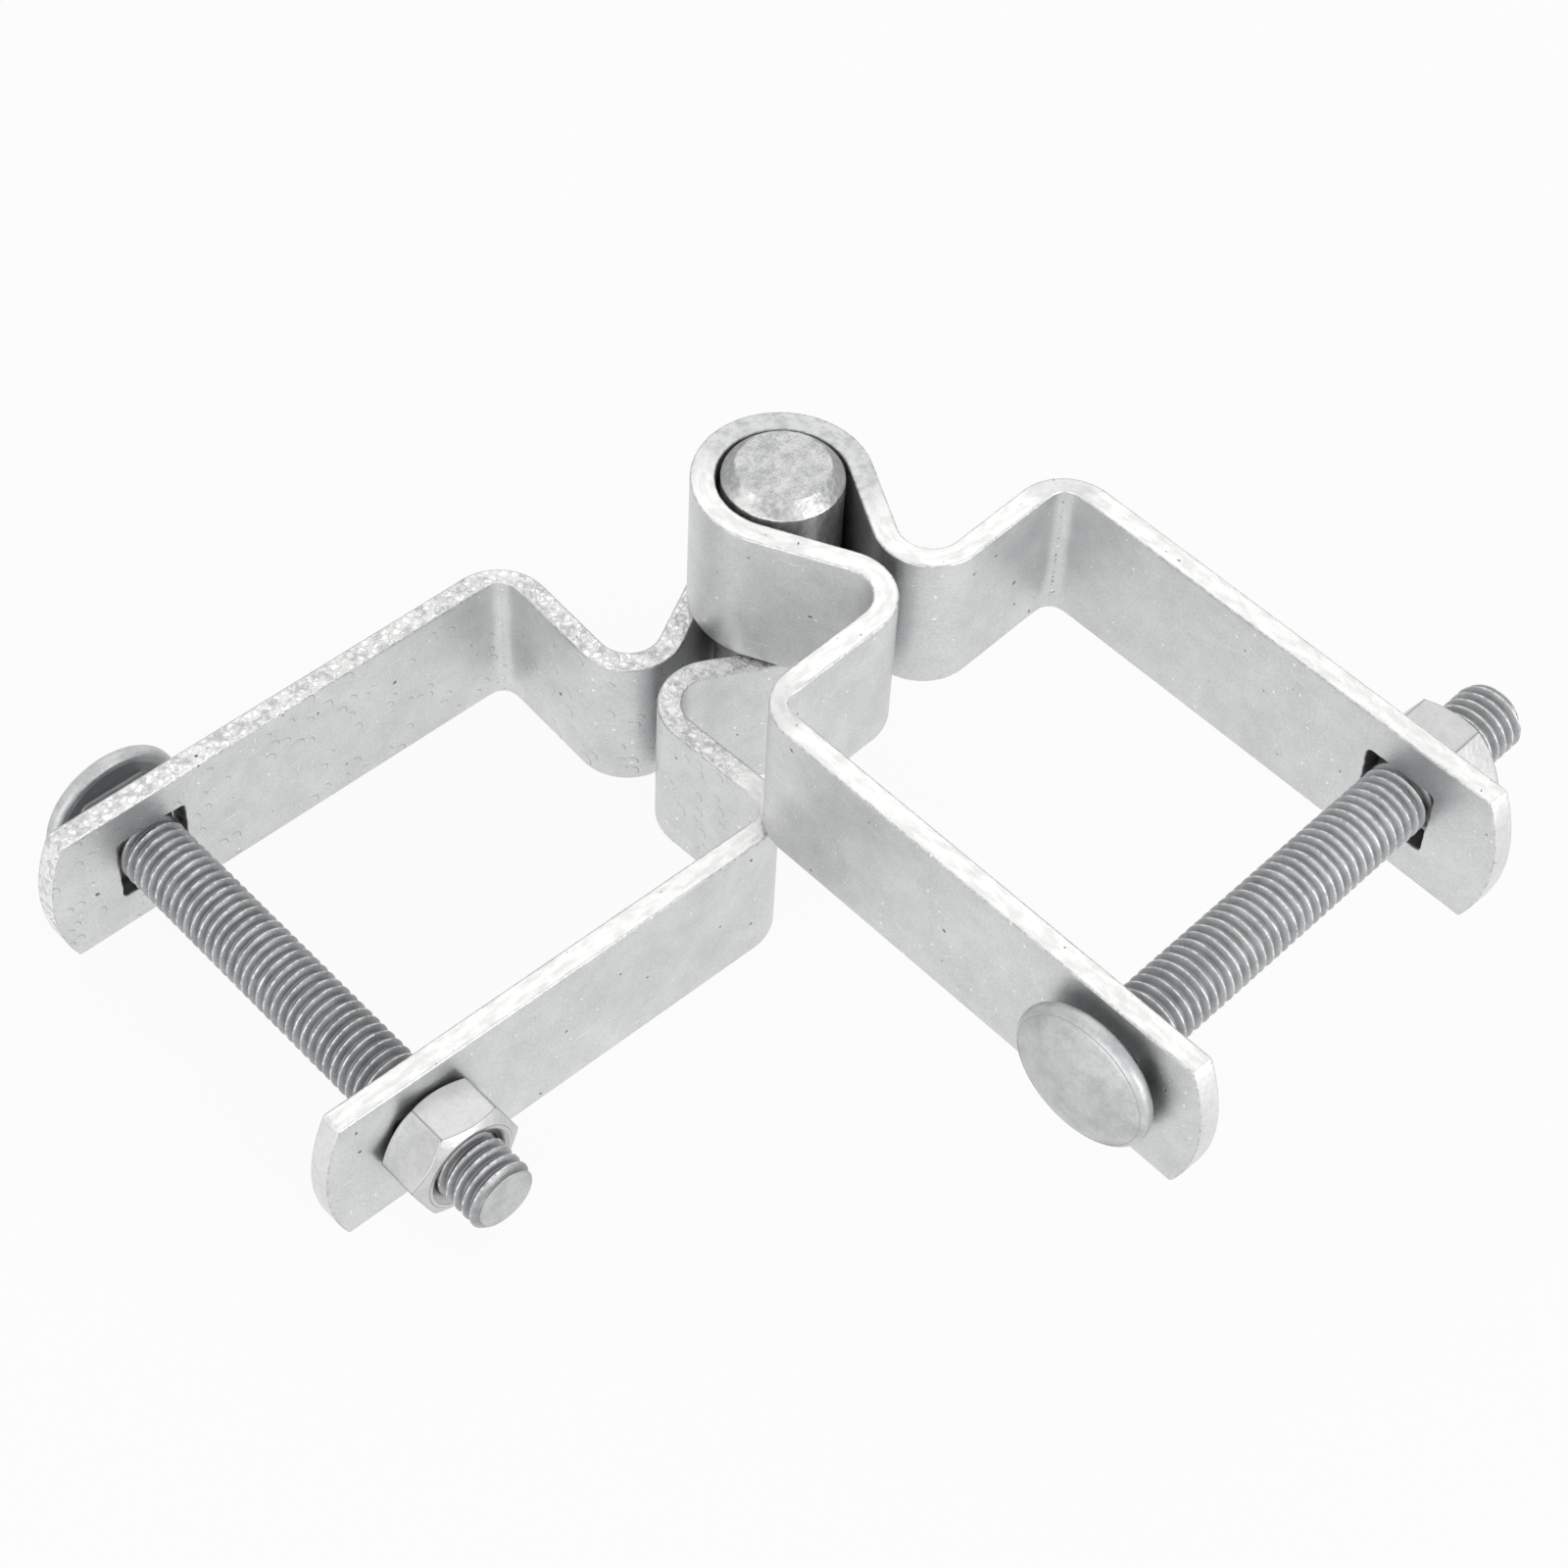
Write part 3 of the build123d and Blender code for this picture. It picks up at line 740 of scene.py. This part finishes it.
def markBlank(mesh, length, corners, facts):
    # Keeps each point's place on the flat bar, how far it belongs to a sheared edge, to its arris, to the
    # part where the coat froze coarse and to the wall of a hole, and how far it is along the bar from a
    # corner's middle and from the dull part of the loop
    through, soft = bar["thickness"] / 2, bar["edgeRound"]
    middles = [(first + last) / 2 for first, last, turn in corners]
    loopBack = (corners[0][1] + corners[1][0]) / 2
    coarseTo = corners[1][0] if facts["coarse"] else 0
    spots = [tuple(vertex.co) for vertex in mesh.vertices]
    marks = {"sheared": [], "arris": [], "coarse": [], "hole": [], "fromCorner": [], "fromDull": []}
    for x, y, z in spots:
        depth = (through - abs(y)) / soft
        sheared = min(max(depth * 1.3 - 0.15, 0), 1)
        fromTip, fromEdge = min(x, length - x), min(z, bar["width"] - z)
        coarse = min(max((coarseTo - x) / 4, 0), 1)
        arris = max(0, 1 - abs(depth - 0.3) / 0.3)
        if fromTip < bar["tipRise"] + 0.5 and fromEdge > 0.5:
            # the tips were cropped clean, so they are greyer than the long edges
            sheared *= coarse + (1 - coarse) * 0.4
        reach = bar["holeSide"] / 2 + bar["ragged"] + 0.05
        inHole = abs(fromTip - bar["holeFromTip"]) < reach and abs(z - bar["width"] / 2) < reach
        marks["sheared"].append(0 if inHole else sheared)
        marks["arris"].append(arris)
        marks["coarse"].append(coarse)
        marks["hole"].append(sheared if inHole else 0)
        marks["fromCorner"].append(min(abs(x - middle) for middle in middles))
        marks["fromDull"].append(abs(x - loopBack - facts["dullAt"]))
    flat = [c for x, y, z in spots for c in (x + 100 * facts["seed"], y, z)]
    mesh.attributes.new("blankPoint", "FLOAT_VECTOR", "POINT").data.foreach_set("vector", flat)
    for name, values in marks.items():
        mesh.attributes.new(name, "FLOAT", "POINT").data.foreach_set("value", values)


def addPiece(name, mesh, matrix, node, body):
    # Puts a finished mesh where its piece belongs, in metres, over its own node of the frame
    mesh.transform(Matrix.Scale(mm, 4) @ matrix)
    mesh.update()
    piece = addObject(name, mesh)
    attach(piece, body)
    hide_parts(node)
    print(name, "made:", len(mesh.polygons), "faces")


def halfMatrix(side):
    turn = Matrix.Rotation(radians(half[side]["swing"]), 4, "Z")
    return Matrix.Translation((0, 0, half[side]["level"])) @ turn


def makeStrap(side, name, node, body, tree, finish):
    facts = half[side]
    path, length, corners = strapPath(name + "Path", facts)
    blank = bevelled(name, flatBlank(name, length, facts["seed"]), bar["edgeRound"], 3, 50)
    markBlank(blank, length, corners, facts)
    for vertex in blank.vertices:
        if vertex.co.y < 0:
            inside = -2 * vertex.co.y / bar["thickness"]
            vertex.co.y += creaseDepth(vertex.co.x, corners) * inside
    mesh = runTree(name, blank, tree, {
        "Path": path, "Face wear": bar["faceWear"], "Edge wear": bar["edgeWear"], "Grain": bar["grain"],
        "Cloud size": bar["cloudSize"], "Seed": facts["seed"], "Finish": finish})
    bpy.data.objects.remove(path)
    addPiece(name, mesh, halfMatrix(side), node, body)


# Hinge pin

# the bevel's painted highlights, each a bearing in degrees, a spread and a strength, a fainter painted light
# towards a front bearing, and painted light on the side
pin = {"length": 2 * bar["width"] + 0.6 + 2.3, "chamferSide": 1.9, "chamferDepth": 2.0,
       "runs": ((4.0, 15.0, 0.75), (71.0, 18.0, 0.45)), "frontLightBearing": 45.0, "sidePaintedLight": 0.3,
       "segments": 200, "rows": 120}


def makePin(tree, finish):
    radius, top, rows = bar["pinRadius"], pin["length"], pin["rows"]

    def profileAt(angle):
        # the bevel was ground by hand, so its inner edge wanders; bright patches on the bevel at the listed
        # bearings, and a fainter one towards the front, are painted highlights, with random pale specks
        around = Vector((cos(angle), sin(angle), 0))
        wander = 0.2 * noise.noise(around * 2.2) + 0.12 * noise.noise(around * 6)
        inner = radius - pin["chamferSide"] + wander
        paintedHighlight = 0.16 * max(cos(angle - radians(pin["frontLightBearing"])), 0)
        for bearing, spread, share in pin["runs"]:
            off = (degrees(angle) - bearing + 180) % 360 - 180
            paintedHighlight += share * exp(-((off / spread) ** 2))
        spots = rounded([(0, 0, 0, rows // 6), (radius - 0.3, 0, 0, 1), (radius, 0.3, 0, rows),
                         (radius, top - pin["chamferDepth"], 0.6, rows // 12),
                         (inner, top, 0.3, rows // 6), (0, top, 0, 1)])
        marked = []
        for x, y, arris, paintedShading in spots:
            onBevel = min(max((x - inner) / 0.15, 0), 1) if y > top - pin["chamferDepth"] else 0
            # the side below the bevel is painted lighter: painted light against the shade inside the loop
            onSide = pin["sidePaintedLight"] if 0.5 < y <= top - pin["chamferDepth"] else 0
            speck = 0.35 * noise.noise(Vector((cos(angle) * x, sin(angle) * x, y)) * 1.7)
            pale = min(max(paintedHighlight + speck, 0), 0.9)
            marked.append((x, y, onBevel, onSide + onBevel * pale))
        return marked

    mesh = lathe("hingePin", profileAt, pin["segments"])
    # no thread: nothing lies within an Outer of 0
    mesh = runTree("hingePin", mesh, tree, {
        "Pitch": 1.0, "Start": 0.0, "End": 1.0, "Run-out": 1.0, "Depth": 1.0, "Phase": 0.0, "Outer": 0.0,
        "Wear": 0.1, "Grain": 0.8, "Seed": 2.0, "Finish": finish})
    addPiece("hingePin", mesh, Matrix.Identity(4), "hinge_pin", "pin")


# Carriage bolts and nuts

bolt = {
    "threadRadius": 4.85, "length": 78.4, "endChamfer": 0.6, "pitch": 1.5, "threadDepth": 0.86,
    "neckSide": 9.8, "neckCorner": 0.9, "neckLength": 5.6,
    "headRadius": 10.1, "rimHeight": 2.3, "rimInset": 0.7, "domeHeight": 2.1, "hollow": 0.5,
    "standOff": {"post": 4.6, "gate": 1.7},
    "segments": 96, "rowsPerPitch": 12,
    "domeRows": 28, "rimRows": 12, "underRows": 7, "neckRows": 12, "chamferRows": 5, "faceRows": 12,
}
nut = {
    "acrossFlats": 14.6, "height": 8.0, "faceShare": 0.88, "chamferAngle": 30.0, "cornerRound": 0.35,
    "boreRadius": 5.28, "mouthRadius": 5.9, "edgeLine": 0.16, "bevelShade": 0.5, "threadDepth": 0.8,
    "seatGap": 0.05,
    "turn": {"post": 6.3, "gate": 4.7},
    "segments": 180, "rowsPerPitch": 14,
}


def clampLine(side):
    # Frame on the bolt's line, from the head side's hole to the nut side's hole, with X up
    facts = half[side]
    low = Vector((facts["head"][0] - bar["holeFromTip"], -armMiddle, bar["width"] / 2))
    high = Vector((facts["nut"][0] - bar["holeFromTip"], armMiddle, bar["width"] / 2))
    return low, (high - low).normalized()


def lineMatrix(side, across, further):
    # Where the line is so far across the clamp, then further on along it
    start, along = clampLine(side)
    origin = start + along * ((across + armMiddle) / along.y + further)
    up = Vector((0, 0, 1))
    sideways = along.cross(up)
    turn = Matrix((up, sideways, along)).transposed().to_4x4()
    return halfMatrix(side) @ Matrix.Translation(origin) @ turn


def squareRadius(angle, side, corner):
    # Distance from the axis to a square with rounded corners
    angle = (angle + pi / 4) % (pi / 2) - pi / 4
    flat = side / 2
    straight = flat / cos(angle)
    inner = flat - corner
    if abs(flat * tan(angle)) <= inner:
        return straight
    middle = hypot(inner, inner)
    off = pi / 4 - abs(angle)
    return middle * cos(off) + sqrt(corner**2 - (middle * sin(off)) ** 2)


def hexRadius(angle, flats, corner):
    # Distance from the axis to a hexagon with rounded corners, a corner lying at angle 0
    angle = (angle % (pi / 3)) - pi / 6
    flat = flats / 2
    straight = flat / cos(angle)
    middle = (flat - corner) / cos(pi / 6)
    off = pi / 6 - abs(angle)
    if flat * tan(abs(angle)) <= (flat - corner) * tan(pi / 6):
        return straight
    return middle * cos(off) + sqrt(max(corner**2 - (middle * sin(off)) ** 2, 0))


def boltProfile(angle):
    # From the dome's top, round the rim, up the square neck and along the shank to its end
    rim, inset = bolt["headRadius"], bolt["rimInset"]
    edge, foot, top = rim - inset, -bolt["rimHeight"], -bolt["rimHeight"] - bolt["domeHeight"]
    domeRadius = (edge**2 + bolt["domeHeight"] ** 2) / (2 * bolt["domeHeight"])
    points = []
    for i in range(bolt["domeRows"] + 1):
        out = (edge - 0.3) * i / bolt["domeRows"]
        points.append((out, top + domeRadius - sqrt(domeRadius**2 - out**2), 0, 0))
    # a fine line parts the dome from the rim, which bulges between its edges
    points += [(edge - 0.15, foot - 0.02, 0, 0), (edge - 0.05, foot + 0.1, 1, 0), (edge + 0.05, foot, 0, 0)]
    for i in range(bolt["rimRows"] + 1):
        share = 0.02 + 0.98 * i / bolt["rimRows"]
        bulge = inset * (1 - abs(2 * share - 1) ** 2.6)
        points.append((edge + 0.08 + bulge * 0.9, foot * (1 - share), 0, 0))
    # the underside is a little hollow inside the rim
    hollow = -bolt["hollow"]
    # the last number paints shade under the head: a little near the rim, fully on the underside, half on the
    # neck
    points += [(edge - 0.35, 0.0, 0, 0), (edge - 0.75, hollow * 0.25, 0, 0.3)]
    square = squareRadius(angle, bolt["neckSide"], bolt["neckCorner"])
    under = edge - 1.4
    for i in range(bolt["underRows"] + 1):
        points.append((under + (square + 0.3 - under) * i / bolt["underRows"], hollow, 0, 1))
    points.append((square + 0.1, hollow + 0.08, 0, 1))
    rows, low = bolt["neckRows"], hollow + 0.3
    for i in range(rows + 1):
        points.append((square, low + (bolt["neckLength"] - 0.3 - low) * i / rows, 0, 0.5))
    points.append((square - 0.25, bolt["neckLength"] - 0.05, 0, 0.5))
    crest = bolt["threadRadius"]
    points.append((crest + (square - crest) * 0.4, bolt["neckLength"], 0, 0.5))
    start, end = bolt["neckLength"], bolt["length"] - bolt["endChamfer"]
    count = round((end - start) / bolt["pitch"] * bolt["rowsPerPitch"])
    points += [(crest, start + (end - start) * i / count, 0, 0) for i in range(count + 1)]
    tip = crest - bolt["endChamfer"]
    chamferRows, faceRows = bolt["chamferRows"], bolt["faceRows"]
    for i in range(1, chamferRows):
        cut = bolt["endChamfer"] * i / chamferRows
        points.append((crest - cut, end + cut, 0, 0))
    points += [(tip, bolt["length"] - 0.01, 1, 0), (tip - 0.15, bolt["length"], 0, 0)]
    points += [((tip - 0.15) * (1 - i / faceRows), bolt["length"], 0, 0) for i in range(1, faceRows + 1)]
    return points


def makeBolt(side, name, node, body, tree, finish, seed):
    mesh = lathe(name, boltProfile, bolt["segments"])
    mesh = runTree(name, mesh, tree, {
        "Pitch": bolt["pitch"], "Start": bolt["neckLength"] + 0.1, "End": bolt["length"] + bolt["pitch"],
        "Run-out": 0.8, "Depth": bolt["threadDepth"], "Phase": 0.0, "Outer": bolt["threadRadius"],
        "Wear": 0.05, "Grain": 1.3, "Seed": seed, "Finish": finish})
    matrix = lineMatrix(side, -armOutside, -bolt["standOff"][side])
    addPiece(name, mesh, matrix, node, body)


def nutProfile(angle):
    # Closed outline: up the outside, over the top face, down the bore, along the seat.
    # The first half of each list is one end of the nut; the other end mirrors it.
    high = nut["height"]
    corner = hexRadius(angle, nut["acrossFlats"], nut["cornerRound"])
    face = nut["acrossFlats"] * nut["faceShare"] / 2
    drop = (corner - face) * tan(radians(nut["chamferAngle"]))
    bore, mouth = nut["boreRadius"], nut["mouthRadius"]
    sink = mouth - bore
    soft = nut["edgeLine"]
    slope = soft / hypot(corner - face, drop)
    offCorner = abs((angle + pi / 6) % (pi / 3) - pi / 6)
    onCorner = 1 if offCorner < pi / nut["segments"] else 0
    flank = [(corner, drop + soft + (high / 2 - drop - soft) * i / 6, onCorner) for i in range(6)]
    chamfer = [(corner - 0.01, drop, 1)]
    for share in (slope, 0.3 + slope * 0.6, 0.6 + slope * 0.2, 1 - slope):
        chamfer.append((corner + (face - corner) * share, drop * (1 - share), nut["bevelShade"]))
    chamfer.append((face, 0.01, 1))
    ring = [(face + (mouth - face) * share, 0.0, nut["bevelShade"]) for share in (0.14, 0.5, 0.86)]
    ring += [(mouth, 0.01, 1), (mouth - soft, soft * 1.2, 0)]
    points = [(x, y, mark, 0) for x, y, mark in flank]
    points.append((corner, high / 2, onCorner, 0))
    points += [(x, high - y, mark, 0) for x, y, mark in reversed(flank)]
    points += [(x, high - y, mark, 0) for x, y, mark in chamfer + ring]
    rows = round((high - 2 * sink) / bolt["pitch"] * nut["rowsPerPitch"])
    points += [(bore, high - sink - (high - 2 * sink) * i / rows, 0, 0) for i in range(rows + 1)]
    # the seat end's last number paints shade where the nut meets the arm
    points += [(x, y, mark, 1) for x, y, mark in reversed(chamfer + ring)]
    return points


def makeNut(side, name, node, body, tree, finish, seed):
    start, along = clampLine(side)
    slant = abs(along.x / along.y)
    lift = nut["acrossFlats"] * nut["faceShare"] / 2 * slant + nut["seatGap"]
    spin = 90 - nut["turn"][side]
    mesh = lathe(name, nutProfile, nut["segments"], ring=True)
    # the bore's thread meets the bolt's: same helix, counted from the nut's own seat and turn
    fromHead = 2 * armOutside / along.y + bolt["standOff"][side] + lift
    phase = (fromHead / bolt["pitch"] - spin / 360) % 1
    sink = nut["mouthRadius"] - nut["boreRadius"]
    mesh = runTree(name, mesh, tree, {
        "Pitch": bolt["pitch"], "Start": sink * 0.3, "End": nut["height"] - sink * 0.3, "Run-out": 0.4,
        "Depth": nut["threadDepth"], "Phase": phase, "Outer": nut["boreRadius"],
        "Wear": 0.04, "Grain": 0.7, "Seed": seed, "Finish": finish})
    matrix = lineMatrix(side, armOutside, lift) @ Matrix.Rotation(radians(spin), 4, "Z")
    addPiece(name, mesh, matrix, node, body)


# Camera, from the photograph: where it stands, which way it looks and how long its lens is

shot = {"position": (233.4, 236.0, 385.7), "bearing": 44.88, "elevation": 50.50, "roll": 3.51,
        "focalPixels": 3756.9, "imagePixels": 1600, "sensor": 36.0}


def direction(bearing, elevation):
    # From the middle of things towards a bearing and an elevation in degrees
    bearing, elevation = radians(bearing), radians(elevation)
    return Vector((cos(elevation) * cos(bearing), cos(elevation) * sin(bearing), sin(elevation)))


def addCamera():
    data = bpy.data.cameras.new("photoCamera")
    data.sensor_width = shot["sensor"]
    data.lens = shot["focalPixels"] / shot["imagePixels"] * shot["sensor"]
    data.clip_start, data.clip_end = 0.01, 50.0
    camera = addObject("photoCamera", data)
    ahead = -direction(shot["bearing"], shot["elevation"])
    roll = radians(shot["roll"])
    right = ahead.cross(Vector((0, 0, 1))).normalized()
    up = right.cross(ahead)
    tilted = Matrix((cos(roll) * right + sin(roll) * up, cos(roll) * up - sin(roll) * right, -ahead))
    camera.matrix_world = Matrix.Translation(Vector(shot["position"]) * mm) @ tilted.transposed().to_4x4()
    bpy.context.scene.camera = camera


# Studio: pale floor, white surroundings and broad soft lamps

studio = {"floor": "#fdfdfd", "floorSize": 6.0, "floorGlow": 0.94, "worldLight": 0.75,
          "lampAim": (40, 20, 20), "lampDistance": 1.3,
          "back": {"bearing": 225, "elevation": 52, "size": 1.0, "power": 1.0},
          "side": {"bearing": 105, "elevation": 12, "size": 0.9, "power": 6.5},
          "front": {"bearing": 20, "elevation": 14, "size": 1.0, "power": 4.2}}


def addLamp(name):
    facts = studio[name]
    data = bpy.data.lights.new(name, "AREA")
    data.shape = "DISK"
    data.size = facts["size"]
    data.energy = facts["power"]
    lamp = addObject(name, data)
    away = direction(facts["bearing"], facts["elevation"])
    lamp.location = Vector(studio["lampAim"]) * mm + away * studio["lampDistance"]
    lamp.rotation_euler = away.to_track_quat("Z", "Y").to_euler()


def addFloor():
    # White paper. The camera and the metal see it partly as a glow, so it is white and keeps its shadow.
    size = studio["floorSize"] / 2
    corners = [(-size, -size, 0), (size, -size, 0), (size, size, 0), (-size, size, 0)]
    floor = addObject("floor", meshFrom("floor", corners, [(0, 1, 2, 3)]))
    material = bpy.data.materials.new("whitePaper")
    add = emptied(material)
    paper = add("BsdfPrincipled", {"Base Color": studio["floor"], "Roughness": 0.9,
                                   "Specular IOR Level": 0.1})
    glow = add("Emission", {"Color": studio["floor"], "Strength": 1.0})
    ray = add("LightPath").outputs
    seen = add("Math", (ray["Is Camera Ray"], ray["Is Glossy Ray"]), operation="MAXIMUM")
    share = add("Math", (seen, studio["floorGlow"]), operation="MULTIPLY")
    add("OutputMaterial", {"Surface": add("MixShader", (share, paper, glow))})
    floor.data.materials.append(material)


def addWorld():
    # White to the camera and in reflections, dimmer as a light
    world = bpy.data.worlds.new("studioWorld")
    bpy.context.scene.world = world
    add = emptied(world)
    light = add("Background", {"Color": "#ffffff", "Strength": studio["worldLight"]})
    white = add("Background", {"Color": "#ffffff", "Strength": 1.0})
    ray = add("LightPath").outputs
    seen = add("Math", (ray["Is Camera Ray"], ray["Is Glossy Ray"]), operation="MAXIMUM")
    add("OutputWorld", {"Surface": add("MixShader", (seen, light, white))})


def addStudio():
    addFloor()
    addWorld()
    for name in ("back", "side", "front"):
        addLamp(name)
    bpy.context.scene.view_settings.view_transform = "Standard"
    print("studio made")


def makeHinge():
    bending, threading = bendBarTree(), cutThreadTree()
    flatBar = flatBarFinish()
    makeStrap("post", "lowerStrap", "lower_strap", "post_half", bending, flatBar)
    makeStrap("gate", "upperStrap", "upper_strap", "gate_half", bending, flatBar)
    makePin(threading, roundZincFinish("hotDipZincRoundBar", pinLook))
    boltFinish = roundZincFinish("hotDipZincRolledThread", boltLook)
    makeBolt("post", "lowerBolt", "lower_bolt", "post_bolt", threading, boltFinish, 5.0)
    gateBoltFinish = roundZincFinish("hotDipZincRolledThreadGateHalf", gateBoltLook)
    makeBolt("gate", "upperBolt", "upper_bolt", "gate_bolt", threading, gateBoltFinish, 6.0)
    nutFinish = roundZincFinish("hotDipZincForgedNut", nutLook)
    makeNut("post", "lowerNut", "lower_nut", "post_nut", threading, nutFinish, 7.0)
    gateNutFinish = roundZincFinish("hotDipZincForgedNutGateHalf", gateNutLook)
    makeNut("gate", "upperNut", "upper_nut", "gate_nut", threading, gateNutFinish, 9.0)


addCamera()
addStudio()
makeHinge()
